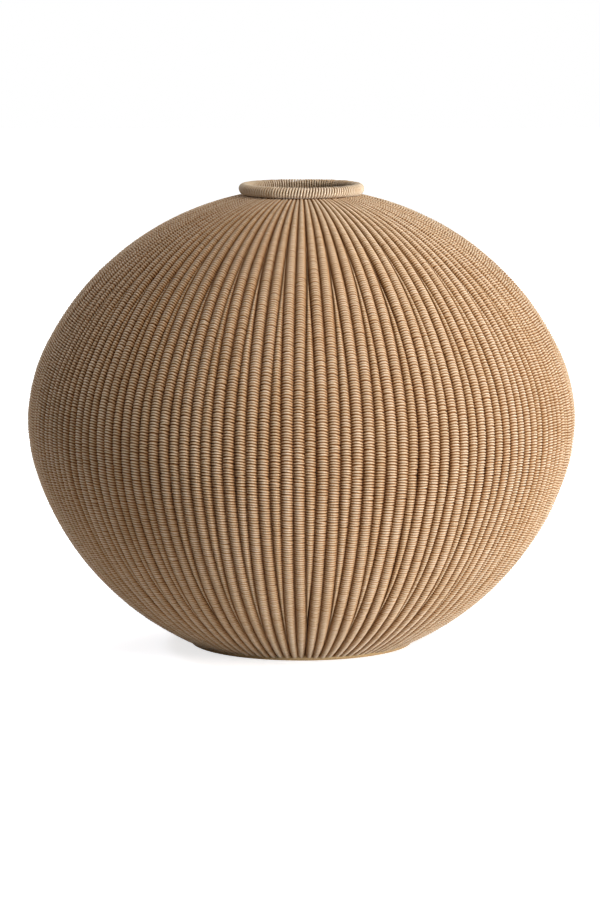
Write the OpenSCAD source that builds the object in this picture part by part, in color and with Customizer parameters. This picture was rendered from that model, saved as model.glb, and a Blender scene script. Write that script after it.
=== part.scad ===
// Round vase with upright ribs: thin wire stakes run from the foot to the neck,
// and each stake is whipped with paper twine into a soft rib. The ribs stand side
// by side. Shorter filler ribs wedge in where the body is wide, so the main ribs
// are squeezed together at the neck and at the foot. The twine was worked in two
// halves that meet at a seam below the belly. A whipped hoop finishes the mouth.
// Sizes are in millimetres. +Z is up and the origin is the centre of the foot.

/* [Body outline] */
// Greatest radius of the body, over the crests of the ribs
belly_radius = 200; // [185:1:225]
// Height of the greatest radius above the table
belly_height = 164; // [150:1:180]
// Radius of the outline around the belly
belly_arc = 120; // [105:1:140]
// Turn of the belly arc above the greatest radius, in degrees
upper_turn = 25.8; // [20:0.2:34]
// Turn of the belly arc below the greatest radius, in degrees
lower_turn = 17.4; // [12:0.2:24]
// Radius where the rib crests end at the neck
neck_radius = 42; // [38:0.5:50]
// Height where the rib crests end at the neck
neck_height = 328.8; // [315:0.2:345]
// Radius where the rib crests end at the foot
foot_radius = 82; // [74:0.5:95]

/* [Ribs] */
// Pairs of main ribs around the body, with one filler rib between two pairs
pair_count = 51; // [45:1:57]
// Gap between neighbouring ribs
rib_gap = 0.3; // [0.2:0.05:0.6]
// Height of the seam between the upper and the lower whipping
seam_height = 150; // [140:1:160]
// Half width left at the pointed ends of a filler rib
filler_tip = 0.5; // [0.4:0.1:1]

/* [Stakes] */
// Radius of the wire stakes
stake_radius = 0.8; // [0.6:0.05:0.9]
// Clearance around a stake in its whipping and its grooves
stake_clearance = 0.1; // [0.05:0.01:0.15]
// Depth of the grooves for the stakes in the base board and the neck hoop
groove_depth = 2; // [1:0.25:3]

/* [Inner web] */
// Thickness of the layer of twine behind the ribs
web_thickness = 1.6; // [1:0.1:3]
// Radius of the round hoop behind the seam
belly_hoop_radius = 3; // [2:0.25:5]

/* [Foot] */
// Thickness of the pale pad under the foot
pad_thickness = 1.2; // [0.8:0.1:3]
// Step of the pad's edge in from the rib ends
pad_inset = 0.6; // [0:0.1:3]
// Thickness of the base board
board_thickness = 7.4; // [6.5:0.1:12]

/* [Rim] */
// Wall of the hoop that takes the upper ends of the stakes
neck_hoop_wall = 3.6; // [3:0.1:6]
// Radius of the rod inside the rim
rim_rod_radius = 1.65; // [1.2:0.05:3]
// Radius of the ring that the rod makes
rim_ring_radius = 41.8; // [38:0.1:50]
// Diameter of the twine around the rim
rim_twine = 2.1; // [1.5:0.05:2.2]
// Turns of twine around the rim
rim_turns = 90; // [60:1:92]

/* [Fits] */
// Gap between pieces that meet end to end or lie one behind the other
joint_gap = 0.3; // [0.1:0.05:0.5]
// Gap between the rim rod and its twine
twine_gap = 0.15; // [0.1:0.05:0.3]

/* [Hidden] */
$fn = 96;
rib_count = 3 * pair_count;
main_count = 2 * pair_count;
pair_angle = 360 / pair_count;
half_pair = pair_angle / 2;
rib_step = 360 / rib_count;

// Outline: a bowl arc, a belly arc and a shoulder arc, each tangent to the next
function blend_arc(centre, arc, way, point) =
    let (d = point - centre, along = d * way)
    (d * d - 2 * arc * along + arc * arc) / (2 * (arc - along));

belly_centre = [belly_radius - belly_arc, belly_height];

neck_point = [neck_radius, neck_height];
upper_way = [cos(upper_turn), sin(upper_turn)];
shoulder_arc = blend_arc(belly_centre, belly_arc, upper_way, neck_point);
shoulder_centre = belly_centre + (belly_arc - shoulder_arc) * upper_way;
neck_angle = atan2(neck_point[1] - shoulder_centre[1], neck_point[0] - shoulder_centre[0]);

foot_height = pad_thickness + joint_gap;
foot_point = [foot_radius, foot_height];
lower_way = [cos(lower_turn), -sin(lower_turn)];
bowl_arc = blend_arc(belly_centre, belly_arc, lower_way, foot_point);
bowl_centre = belly_centre + (belly_arc - bowl_arc) * lower_way;
foot_angle = atan2(foot_point[1] - bowl_centre[1], foot_point[0] - bowl_centre[0]);

function arc_centre(angle) =
    angle < -lower_turn ? bowl_centre
    : angle < upper_turn ? belly_centre
    : shoulder_centre;

function arc_radius(angle) =
    angle < -lower_turn ? bowl_arc
    : angle < upper_turn ? belly_arc
    : shoulder_arc;

// Point of the outline at an angle of its outward normal, sunk by a depth
function outline(angle, depth) =
    arc_centre(angle) + (arc_radius(angle) - depth) * [cos(angle), sin(angle)];

// Angle of the normal at a height on the outline
function angle_at_height(z) =
    z < outline(-lower_turn, 0)[1] ? asin((z - bowl_centre[1]) / bowl_arc)
    : z < outline(upper_turn, 0)[1] ? asin((z - belly_height) / belly_arc)
    : asin((z - shoulder_centre[1]) / shoulder_arc);

// Angle that a length along an arc takes
function turn_of(length, arc) = length / arc * 180 / PI;

// Ribs: round along the belly, squeezed by their neighbours above and below it
half_step = sin(rib_step / 2);
belly_round = (belly_radius * half_step - rib_gap / 2) / (1 + half_step);
belly_axis = belly_radius - belly_round;
bore_radius = stake_radius + stake_clearance;

// A main rib lies in an upright plane beside the middle of its pair
belly_side = belly_axis * half_step;
neck_side = neck_radius * tan(pair_angle / 4);
rib_slope = (belly_side - neck_side) / (belly_axis * cos(rib_step / 2) - neck_radius);
rib_shift = neck_side - rib_slope * neck_radius;
rib_turn = atan(rib_slope);
function rib_side(angle) = rib_shift + rib_slope * outline(angle, belly_round)[0];

// The two ribs of a pair just miss each other along the whole belly arc
rib_radius = min(rib_side(upper_turn), rib_side(-lower_turn)) * cos(rib_turn) - rib_gap / 2;

// Half width that two main ribs leave for the filler rib at a radius
function filler_half_width(radius) =
    radius * sin(half_pair) - (rib_shift + rib_slope * radius) * cos(half_pair)
    - rib_radius - rib_gap;

// A filler rib just misses its neighbours along the belly, and is trimmed beyond it
filler_radius = min(
    rib_radius,
    filler_half_width(outline(upper_turn, 0)[0]),
    filler_half_width(outline(-lower_turn, 0)[0])
);
filler_tip_radius =
    (filler_tip + rib_radius + rib_gap + rib_shift * cos(half_pair))
    / (sin(half_pair) - rib_slope * cos(half_pair));
upper_tip_angle = acos((filler_tip_radius - shoulder_centre[0]) / (shoulder_arc - rib_radius));
lower_tip_angle = -acos((filler_tip_radius - bowl_centre[0]) / (bowl_arc - rib_radius));

seam_angle = angle_at_height(seam_height);
seam_half = turn_of(joint_gap / 2, arc_radius(seam_angle));
// Nodes that the ribs and their stakes are shared out to
rib_sets = 17;
filler_sets = 3;
stake_sets = 6;
// Bands of rows that the inner web is built up from
lower_web_bands = 3;
upper_web_bands = 4;
// Overlap of two lengths of a bent tube, and the step in their radius there
lap_length = 1;
lap_step = 0.05;
// Turn of a round section, which sets its seam line on the side of a rib
profile_turn = 90;
// Turn of one straight step of the web's outline, in degrees
web_step = 2.5;
// Turn by which the web runs on past the ribs before it is trimmed
overrun = 12;

// Inner web, board and hoops
web_depth = 2 * rib_radius + joint_gap;
web_inner_depth = web_depth + web_thickness;
belly_hoop_depth = web_inner_depth + joint_gap + belly_hoop_radius;
board_top = pad_thickness + board_thickness;
foot_run = turn_of(joint_gap + groove_depth, bowl_arc - rib_radius);
neck_run = turn_of(joint_gap + groove_depth, shoulder_arc - rib_radius);
neck_way = [-sin(neck_angle), cos(neck_angle)];
neck_edge = neck_point + joint_gap * neck_way;
neck_hoop_inner = neck_edge[0] - neck_hoop_wall - web_inner_depth * cos(neck_angle);
neck_hoop_bottom = outline(neck_angle, web_inner_depth)[1] - joint_gap;
foot_way = [sin(foot_angle), -cos(foot_angle)];
foot_edge = foot_point + joint_gap * foot_way;
function foot_edge_radius(z) =
    foot_edge[0] - (z - foot_edge[1]) / tan(-foot_angle);

rim_curl = rim_rod_radius + twine_gap + rim_twine / 2;
rim_half = rim_curl + rim_twine / 2;
rim_height = neck_height + joint_gap + rim_half;
curl_rings = 8;
twine_sides = 6;

// One node can be drawn by its name

// Section of a bent round bar on an arc. A square channel can run through it.
module bar_section(arc, outer, inner) {
    translate([arc - rib_radius, 0])
        difference() {
            rotate(profile_turn)
                circle(r = outer);
            if (inner > 0)
                square(2 * inner, center = true);
        }
}

// The outline's plane, with the middle of the belly arc at its origin and its
// x axis through a joint of two arcs, which then share that axis exactly
module at_joint(turn) {
    translate([belly_centre[0], 0, belly_centre[1]])
        rotate([90, 0, 0])
            rotate([0, 0, turn])
                children();
}

// The other way round: brings what stands in a rib's plane to the joint's plane
module to_joint(turn) {
    rotate([0, 0, -turn])
        rotate([-90, 0, 0])
            translate([-belly_centre[0], 0, -belly_centre[1]])
                children();
}

// Length of a bar on an arc that ends at a joint
module bar_below(arc, turn, outer, inner) {
    translate([belly_arc - arc, 0, 0])
        mirror([0, 1, 0])
            rotate_extrude(angle = turn)
                bar_section(arc, outer, inner);
}

// Length of a bar on the next arc: it is slimmer, and starts inside the one below
module bar_above(arc, turn, outer, inner) {
    lap = turn_of(lap_length, arc);
    translate([belly_arc - arc, 0, 0])
        rotate([0, 0, -lap])
            rotate_extrude(angle = turn + lap)
                bar_section(arc, outer - lap_step, inner + lap_step);
}

// Puts its children in the plane of one main rib, in front of the first pair
module main_rib_plane() {
    translate([0, rib_shift, 0])
        rotate([0, 0, rib_turn])
            children();
}

// Puts its children at one main rib. Odd ones mirror the other rib of their pair.
module at_rib(rib) {
    rotate([0, 0, floor(rib / 2) * pair_angle])
        mirror([0, rib % 2, 0])
            children();
}

// Puts its children back from where a rib stands to its own plane
module to_rib_plane() {
    rotate([0, 0, -rib_turn])
        translate([0, -rib_shift, 0])
            children();
}

// Room of one main rib between the middle of its pair and the next pair
module rib_room() {
    far = belly_radius + rib_radius;
    middle = rib_gap / 2;
    side = (rib_gap / 2) / cos(half_pair);
    linear_extrude(height = neck_height + rib_radius)
        polygon([
            [(middle + side) / tan(half_pair), middle],
            [far, middle],
            [far, far * tan(half_pair) - side]
        ]);
}

module lower_main_rib() {
    main_rib_plane()
        at_joint(-lower_turn) {
            intersection() {
                bar_below(bowl_arc, -lower_turn - foot_angle, rib_radius, bore_radius);
                to_joint(-lower_turn)
                    to_rib_plane()
                        rib_room();
            }
            bar_above(
                belly_arc, seam_angle - seam_half + lower_turn, rib_radius, bore_radius
            );
        }
}

module upper_main_rib() {
    main_rib_plane()
        at_joint(upper_turn) {
            bar_below(
                belly_arc, upper_turn - seam_angle - seam_half, rib_radius, bore_radius
            );
            intersection() {
                bar_above(shoulder_arc, neck_angle - upper_turn, rib_radius, bore_radius);
                to_joint(upper_turn)
                    to_rib_plane()
                        rib_room();
            }
        }
}

// Main ribs of one set, spread evenly around the body
function ribs_of(set, sets) = [set - 1 : sets : main_count - 1];

module lower_main_ribs(set) {
    color([0.72, 0.56, 0.37])
        for (rib = ribs_of(set, rib_sets))
            at_rib(rib)
                lower_main_rib();
}

module upper_main_ribs(set) {
    color([0.75, 0.59, 0.40])
        for (rib = ribs_of(set, rib_sets))
            at_rib(rib)
                upper_main_rib();
}

// Room of one filler rib between the main ribs beside it
module filler_room() {
    far = belly_radius + rib_radius;
    tip = filler_tip_radius - filler_tip / (sin(half_pair) - rib_slope * cos(half_pair));
    linear_extrude(height = neck_height + rib_radius)
        polygon([
            [tip, 0],
            [far, -filler_half_width(far)],
            [far, filler_half_width(far)]
        ]);
}

module lower_filler_rib() {
    at_joint(-lower_turn) {
        intersection() {
            bar_below(bowl_arc, -lower_turn - lower_tip_angle, filler_radius, 0);
            to_joint(-lower_turn)
                filler_room();
        }
        bar_above(belly_arc, seam_angle - seam_half + lower_turn, filler_radius, -lap_step);
    }
}

module upper_filler_rib() {
    at_joint(upper_turn) {
        bar_below(belly_arc, upper_turn - seam_angle - seam_half, filler_radius, 0);
        intersection() {
            bar_above(shoulder_arc, upper_tip_angle - upper_turn, filler_radius, -lap_step);
            to_joint(upper_turn)
                filler_room();
        }
    }
}

// Puts its children between two pairs of main ribs
module at_filler(filler) {
    rotate([0, 0, (filler + 0.5) * pair_angle])
        children();
}

// Filler ribs of one set, spread evenly around the body
function fillers_of(set) = [set - 1 : filler_sets : pair_count - 1];

module lower_filler_ribs(set) {
    color([0.66, 0.50, 0.32])
        for (filler = fillers_of(set))
            at_filler(filler)
                lower_filler_rib();
}

module upper_filler_ribs(set) {
    color([0.68, 0.52, 0.34])
        for (filler = fillers_of(set))
            at_filler(filler)
                upper_filler_rib();
}

// A stake: the bowl length takes in the belly length, and that takes in the last
module main_stake() {
    belly_turn = lower_turn + upper_turn;
    belly_outer = stake_radius - lap_step;
    main_rib_plane()
        at_joint(-lower_turn) {
            bar_below(bowl_arc, foot_run - lower_turn - foot_angle, stake_radius, 0);
            rotate([0, 0, belly_turn]) {
                bar_below(
                    belly_arc, belly_turn + turn_of(lap_length, belly_arc), belly_outer, 0
                );
                bar_above(
                    shoulder_arc, neck_angle + neck_run - upper_turn, belly_outer, -lap_step
                );
            }
        }
}

module main_stakes(set) {
    color([0.42, 0.38, 0.34])
        for (rib = ribs_of(set, stake_sets))
            at_rib(rib)
                main_stake();
}

// Groove for the ends of all stakes, as a flat shape in the outline's plane
module stake_groove(from, to) {
    polygon([
        outline(from, rib_radius - bore_radius),
        outline(to, rib_radius - bore_radius),
        outline(to, rib_radius + bore_radius),
        outline(from, rib_radius + bore_radius)
    ]);
}

// Band behind the ribs, as a flat shape in the outline's plane
module web_band(from, to) {
    steps = ceil((to - from) / web_step);
    angles = [for (step = [0 : steps]) from + (to - from) * step / steps];
    polygon(concat(
        [for (angle = angles) outline(angle, web_depth)],
        [for (step = [0 : steps]) outline(angles[steps - step], web_inner_depth)]
    ));
}

// Turn at which a band of the web ends and the next one starts
function band_end(from, to, band, bands) = from + (to - from) * band / bands;
function gap_half(angle) = turn_of(joint_gap / 2, arc_radius(angle) - web_inner_depth);

module lower_web(band) {
    start = band_end(foot_angle, seam_angle, band - 1, lower_web_bands);
    end = band_end(foot_angle, seam_angle, band, lower_web_bands);
    color([0.60, 0.45, 0.29])
        rotate_extrude()
            intersection() {
                web_band(start + (band == 1 ? -overrun : gap_half(start)), end - gap_half(end));
                translate([0, board_top])
                    square([belly_radius, belly_height]);
            }
}

module upper_web(band) {
    start = band_end(seam_angle, neck_angle, band - 1, upper_web_bands);
    end = band_end(seam_angle, neck_angle, band, upper_web_bands);
    last = band == upper_web_bands;
    color([0.62, 0.47, 0.31])
        rotate_extrude()
            intersection() {
                web_band(start + gap_half(start), end + (last ? overrun : -gap_half(end)));
                translate([neck_radius, 0])
                    square([belly_radius, neck_height]);
            }
}

module belly_hoop() {
    middle = outline(seam_angle, belly_hoop_depth);
    color([0.70, 0.55, 0.36])
        translate([0, 0, middle[1]])
            rotate_extrude()
                translate([middle[0], 0])
                    circle(r = belly_hoop_radius);
}

module foot_pad() {
    color([0.86, 0.80, 0.70])
        cylinder(r = foot_radius - pad_inset, h = pad_thickness);
}

module base_board() {
    color([0.76, 0.63, 0.45])
        rotate_extrude()
            difference() {
                polygon([
                    [0, pad_thickness],
                    [foot_edge_radius(pad_thickness), pad_thickness],
                    [foot_edge_radius(board_top), board_top],
                    [0, board_top]
                ]);
                stake_groove(foot_angle - foot_run, foot_angle);
            }
}

module neck_hoop() {
    low = neck_edge - (neck_edge[1] - neck_hoop_bottom) * [1 / tan(neck_angle), 1];
    color([0.70, 0.55, 0.36])
        rotate_extrude()
            difference() {
                polygon([
                    [neck_hoop_inner, neck_hoop_bottom],
                    low,
                    [neck_edge[0], neck_height],
                    [neck_hoop_inner, neck_height]
                ]);
                stake_groove(neck_angle, neck_angle + neck_run);
            }
}

module rim_rod() {
    color([0.58, 0.44, 0.28])
        translate([0, 0, rim_height])
            rotate_extrude()
                translate([rim_ring_radius, 0])
                    circle(r = rim_rod_radius);
}

// Rim binding: one unbroken twine that winds around the rod and closes on itself
function curl_middle(turn) =
    let (wind = turn * rim_turns, reach = rim_ring_radius + rim_curl * cos(wind))
    [reach * cos(turn), reach * sin(turn), rim_height + rim_curl * sin(wind)];

function curl_out(turn) =
    let (wind = turn * rim_turns)
    [cos(wind) * cos(turn), cos(wind) * sin(turn), sin(wind)];

function curl_way(turn) =
    let (wind = turn * rim_turns, reach = rim_ring_radius + rim_curl * cos(wind))
    reach * [-sin(turn), cos(turn), 0]
    + rim_curl * rim_turns
        * [-sin(wind) * cos(turn), -sin(wind) * sin(turn), cos(wind)];

function curl_side(turn) =
    let (side = cross(curl_way(turn), curl_out(turn)))
    side / norm(side);

rim_rings = rim_turns * curl_rings;
rim_points = [
    for (ring = [0 : rim_rings - 1])
        let (turn = ring * 360 / rim_rings)
        for (side = [0 : twine_sides - 1])
            let (angle = side * 360 / twine_sides)
            curl_middle(turn)
            + rim_twine / 2 * (cos(angle) * curl_out(turn) + sin(angle) * curl_side(turn))
];
rim_faces = [
    for (ring = [0 : rim_rings - 1], side = [0 : twine_sides - 1])
        let (
            after = (ring + 1) % rim_rings,
            next = (side + 1) % twine_sides,
            a = ring * twine_sides + side,
            b = ring * twine_sides + next,
            c = after * twine_sides + side,
            d = after * twine_sides + next
        )
        each [[a, b, d], [a, d, c]]
];
rim_gap_to_itself = min([
    for (first = [0 : curl_rings - 1], apart = [curl_rings / 2 : 3 * curl_rings / 2])
        norm(
            curl_middle(first * 360 / rim_rings)
            - curl_middle((first + apart) * 360 / rim_rings)
        )
]) - rim_twine;
echo("rim binding, least gap to itself", rim_gap_to_itself);

module rim_binding() {
    color([0.70, 0.53, 0.34])
        polyhedron(points = rim_points, faces = rim_faces);
}

foot_pad();
base_board();
main_stakes(1);  // main_stakes_01
main_stakes(2);  // main_stakes_02
main_stakes(3);  // main_stakes_03
main_stakes(4);  // main_stakes_04
main_stakes(5);  // main_stakes_05
main_stakes(6);  // main_stakes_06
lower_web(1);  // lower_web_01
lower_web(2);  // lower_web_02
lower_web(3);  // lower_web_03
upper_web(1);  // upper_web_01
upper_web(2);  // upper_web_02
upper_web(3);  // upper_web_03
upper_web(4);  // upper_web_04
belly_hoop();
neck_hoop();
rim_rod();
rim_binding();
lower_filler_ribs(1);  // lower_filler_ribs_01
lower_filler_ribs(2);  // lower_filler_ribs_02
lower_filler_ribs(3);  // lower_filler_ribs_03
upper_filler_ribs(1);  // upper_filler_ribs_01
upper_filler_ribs(2);  // upper_filler_ribs_02
upper_filler_ribs(3);  // upper_filler_ribs_03
lower_main_ribs(1);  // lower_main_ribs_01
lower_main_ribs(2);  // lower_main_ribs_02
lower_main_ribs(3);  // lower_main_ribs_03
lower_main_ribs(4);  // lower_main_ribs_04
lower_main_ribs(5);  // lower_main_ribs_05
lower_main_ribs(6);  // lower_main_ribs_06
lower_main_ribs(7);  // lower_main_ribs_07
lower_main_ribs(8);  // lower_main_ribs_08
lower_main_ribs(9);  // lower_main_ribs_09
lower_main_ribs(10);  // lower_main_ribs_10
lower_main_ribs(11);  // lower_main_ribs_11
lower_main_ribs(12);  // lower_main_ribs_12
lower_main_ribs(13);  // lower_main_ribs_13
lower_main_ribs(14);  // lower_main_ribs_14
lower_main_ribs(15);  // lower_main_ribs_15
lower_main_ribs(16);  // lower_main_ribs_16
lower_main_ribs(17);  // lower_main_ribs_17
upper_main_ribs(1);  // upper_main_ribs_01
upper_main_ribs(2);  // upper_main_ribs_02
upper_main_ribs(3);  // upper_main_ribs_03
upper_main_ribs(4);  // upper_main_ribs_04
upper_main_ribs(5);  // upper_main_ribs_05
upper_main_ribs(6);  // upper_main_ribs_06
upper_main_ribs(7);  // upper_main_ribs_07
upper_main_ribs(8);  // upper_main_ribs_08
upper_main_ribs(9);  // upper_main_ribs_09
upper_main_ribs(10);  // upper_main_ribs_10
upper_main_ribs(11);  // upper_main_ribs_11
upper_main_ribs(12);  // upper_main_ribs_12
upper_main_ribs(13);  // upper_main_ribs_13
upper_main_ribs(14);  // upper_main_ribs_14
upper_main_ribs(15);  // upper_main_ribs_15
upper_main_ribs(16);  // upper_main_ribs_16
upper_main_ribs(17);  // upper_main_ribs_17
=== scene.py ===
"""Studio scene of a round vase whose ribs are whipped with paper twine.

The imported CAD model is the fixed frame. Its smooth ribs, inner web and rim binding
give way to pieces that show every wrap of twine, and its wires to the same wires with
fewer faces. The board, the hoops, the rim rod and the foot pad keep their solids and
get their finish.
"""

import logging
import math
from collections.abc import Callable
from dataclasses import dataclass, field
from enum import Enum

import bpy
import numpy as np
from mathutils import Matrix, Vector


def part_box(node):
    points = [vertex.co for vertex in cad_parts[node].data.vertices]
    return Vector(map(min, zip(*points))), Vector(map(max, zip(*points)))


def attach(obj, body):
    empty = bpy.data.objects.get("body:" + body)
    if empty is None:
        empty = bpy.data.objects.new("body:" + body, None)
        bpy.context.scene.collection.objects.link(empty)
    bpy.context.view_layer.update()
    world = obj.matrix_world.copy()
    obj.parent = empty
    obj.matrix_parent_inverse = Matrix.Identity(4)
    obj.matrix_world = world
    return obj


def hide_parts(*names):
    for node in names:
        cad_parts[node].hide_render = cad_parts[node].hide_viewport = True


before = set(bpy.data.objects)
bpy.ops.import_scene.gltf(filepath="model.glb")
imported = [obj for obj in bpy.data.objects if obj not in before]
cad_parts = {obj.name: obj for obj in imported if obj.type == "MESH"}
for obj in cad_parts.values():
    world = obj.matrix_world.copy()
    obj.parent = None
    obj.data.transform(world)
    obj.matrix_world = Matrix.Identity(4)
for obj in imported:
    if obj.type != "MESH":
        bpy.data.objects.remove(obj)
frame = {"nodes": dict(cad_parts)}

LOG = logging.getLogger("ribbed_vase")
MM = 0.001
ROOT = "root"
SEED = 4171
WHITE = "#FFFFFF"
# Tone of plain twine, halfway between its palest and its darkest
MIDDLE_TONE = 0.5
# Points along the outline from which runs are looked up
SAMPLES = 4000
# Seams of a rolled-up piece are closer than this
MERGE_DISTANCE = 0.001 * MM

Array = np.ndarray
Piece = bpy.types.Object
Place = tuple[float, int]


class Slot(Enum):
    """Names of the material slots of the record."""

    RIB_TWINE = "rib_twine"
    FILLER_TWINE = "filler_twine"
    RIM_TWINE = "rim_twine"
    WEB_TWINE = "web_twine"
    WIRE = "wire"


class Mark(Enum):
    """Attributes that a whipped piece carries for its twine finish."""

    LAY = "lay"
    TONE = "tone"
    # Height out of the groove, which sets the painted shade of grooves and flanks
    CROWN = "crown"


class RibKind(Enum):
    """Kinds of rib, each with the name that its pieces and CAD nodes share."""

    MAIN = "main_ribs"
    FILLER = "filler_ribs"


def linear(code: str) -> tuple[float, float, float, float]:
    """Turns an sRGB hex colour into linear values.

    Args:
        code: Colour as six hex digits after a hash sign.

    Returns:
        Linear red, green and blue, and an alpha of one.
    """
    parts = [int(code[i : i + 2], 16) / 255 for i in (1, 3, 5)]
    values = [c / 12.92 if c <= 0.04045 else ((c + 0.055) / 1.055) ** 2.4 for c in parts]
    return values[0], values[1], values[2], 1.0


def add_node(
    tree: bpy.types.NodeTree,
    kind: str,
    settings: dict[str, object] | None = None,
    inputs: dict[str | int, object] | None = None,
    stops: list[tuple[float, str]] | None = None,
) -> bpy.types.Node:
    """Adds one shader node with its settings, values and links.

    Args:
        tree: Node tree that gets the node.
        kind: Blender's name of the node type.
        settings: Properties of the node and their values.
        inputs: Values, or sockets to link, by the name or place of an input.
        stops: Place and hex colour of each stop of a colour ramp, from low to high.

    Returns:
        The new node.
    """
    node = tree.nodes.new(kind)
    for name, value in (settings or {}).items():
        setattr(node, name, value)
    for name, value in (inputs or {}).items():
        if isinstance(value, bpy.types.NodeSocket):
            tree.links.new(value, node.inputs[name])
        else:
            node.inputs[name].default_value = value
    for number, (place, code) in enumerate(stops or []):
        elements = node.color_ramp.elements
        if number == len(elements):
            elements.new(1.0)
        elements[number].position = place
        elements[number].color = linear(code)
    return node


def fresh_material(name: str) -> tuple[bpy.types.Material, bpy.types.Node]:
    """Makes a material that holds only its output and a Principled shader.

    Args:
        name: Name of the material.

    Returns:
        The material and its shader node.
    """
    material = bpy.data.materials.new(name)
    material.use_nodes = True
    tree = material.node_tree
    tree.nodes.clear()
    shader = add_node(tree, "ShaderNodeBsdfPrincipled")
    add_node(tree, "ShaderNodeOutputMaterial", inputs={"Surface": shader.outputs[0]})
    return material, shader


@dataclass(frozen=True)
class TwineFinish:
    """Paper twine, spun from kraft paper strip and laid in tight wraps.

    Paper twine is matt, with a faint satin on the crown of each wrap. Every wrap
    differs a little in tone, and fine lines run along the twine where the paper
    was twisted. The grooves between wraps and the flanks of the ribs are painted
    darker and warmer, as painted shade.

    Attributes:
        name: Name of the material.
        light: Colour of the palest twine.
        middle: Colour of most of the twine.
        dark: Colour of the darkest twine.
        groove: Painted shade tint at the bottom of the grooves.
        flank: Painted shade tint halfway up the wraps.
        groove_power: Power of the height out of the groove that drives the painted shade.
        roughness: Roughness of the paper.
        specular: Share of mirror-like reflection.
        sheen: Weight of the paper's fuzz.
        sheen_roughness: Roughness of the fuzz.
        sheen_tint: Colour of the fuzz.
        line_spacing: Distance between the lines of the twist, in millimetres.
        line_stretch: Scale of the lines along the twine, against that across it.
        line_weight: Part that the lines take in the tone.
        line_relief: Height of the lines, in millimetres.
        line_strength: Strength with which the lines catch the light.
        blotch_size: Size of the blotches of tone on the vase, in millimetres.
        blotch_weight: Part that the blotches take in the tone.
    """

    name: str
    light: str = "#EADFCD"
    middle: str = "#DCCBB0"
    dark: str = "#C2A47C"
    # The groove and flank tints are painted shade
    groove: str = "#63351A"
    flank: str = "#CCA884"
    groove_power: float = 1.35
    roughness: float = 0.55
    specular: float = 0.02
    sheen: float = 0.04
    sheen_roughness: float = 0.45
    sheen_tint: str = "#FFF6EC"
    line_spacing: float = 0.45
    line_stretch: float = 0.25
    line_weight: float = 0.5
    line_relief: float = 0.12
    line_strength: float = 0.5
    blotch_size: float = 34.0
    blotch_weight: float = 0.35

    def make(self) -> bpy.types.Material:
        """Builds the material.

        Returns:
            The twine material, which reads the marks of a whipped piece.
        """
        material, shader = fresh_material(self.name)
        tree = material.node_tree
        lay, tone, crown = (
            add_node(tree, "ShaderNodeAttribute", {"attribute_name": mark.value})
            for mark in (Mark.LAY, Mark.TONE, Mark.CROWN)
        )
        # Twisted paper shows as lines along the twine, which is the x of the lay
        stretched = add_node(
            tree,
            "ShaderNodeMapping",
            inputs={
                "Vector": lay.outputs["Vector"],
                "Scale": (self.line_stretch, 1.0, 1.0),
            },
        )
        lines = add_node(
            tree,
            "ShaderNodeTexNoise",
            inputs={
                "Vector": stretched.outputs[0],
                "Scale": 1.0 / self.line_spacing,
                "Detail": 2.0,
                "Roughness": 0.6,
            },
        )
        place = add_node(tree, "ShaderNodeTexCoord")
        blotches = add_node(
            tree,
            "ShaderNodeTexNoise",
            inputs={
                "Vector": place.outputs["Object"],
                "Scale": 1.0 / (self.blotch_size * MM),
                "Detail": 3.0,
            },
        )
        lined = add_node(
            tree,
            "ShaderNodeMath",
            {"operation": "MULTIPLY_ADD"},
            {0: lines.outputs["Fac"], 1: self.line_weight, 2: tone.outputs["Fac"]},
        )
        blotched = add_node(
            tree,
            "ShaderNodeMath",
            {"operation": "MULTIPLY_ADD"},
            {0: blotches.outputs["Fac"], 1: self.blotch_weight, 2: lined.outputs[0]},
        )
        # Both noises are one half on the mean, which leaves the tone of the wrap
        level = add_node(
            tree,
            "ShaderNodeMath",
            {"operation": "SUBTRACT", "use_clamp": True},
            {0: blotched.outputs[0], 1: (self.line_weight + self.blotch_weight) / 2},
        )
        colour = add_node(
            tree,
            "ShaderNodeValToRGB",
            inputs={"Fac": level.outputs[0]},
            stops=[(0.1, self.dark), (MIDDLE_TONE, self.middle), (0.9, self.light)],
        )
        shade = add_node(
            tree,
            "ShaderNodeMath",
            {"operation": "POWER", "use_clamp": True},
            {0: crown.outputs["Fac"], 1: self.groove_power},
        )
        # Painted shade: the flanks and grooves are tinted darker and redder, standing in for
        # shade and for light passed on between wraps
        painted_groove_shade = add_node(
            tree,
            "ShaderNodeValToRGB",
            inputs={"Fac": shade.outputs[0]},
            stops=[(0.0, self.groove), (0.5, self.flank), (1.0, WHITE)],
        )
        # Inputs 6 and 7 and output 2 are the colour sockets of this node
        mixed = add_node(
            tree,
            "ShaderNodeMix",
            {"data_type": "RGBA", "blend_type": "MULTIPLY"},
            {"Factor": 1.0, 6: colour.outputs["Color"], 7: painted_groove_shade.outputs["Color"]},
        )
        bump = add_node(
            tree,
            "ShaderNodeBump",
            inputs={
                "Height": lines.outputs["Fac"],
                "Strength": self.line_strength,
                "Distance": self.line_relief * MM,
            },
        )
        tree.links.new(mixed.outputs[2], shader.inputs["Base Color"])
        tree.links.new(bump.outputs[0], shader.inputs["Normal"])
        shader.inputs["Roughness"].default_value = self.roughness
        shader.inputs["Specular IOR Level"].default_value = self.specular
        shader.inputs["Sheen Weight"].default_value = self.sheen
        shader.inputs["Sheen Roughness"].default_value = self.sheen_roughness
        shader.inputs["Sheen Tint"].default_value = linear(self.sheen_tint)
        return material


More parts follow.
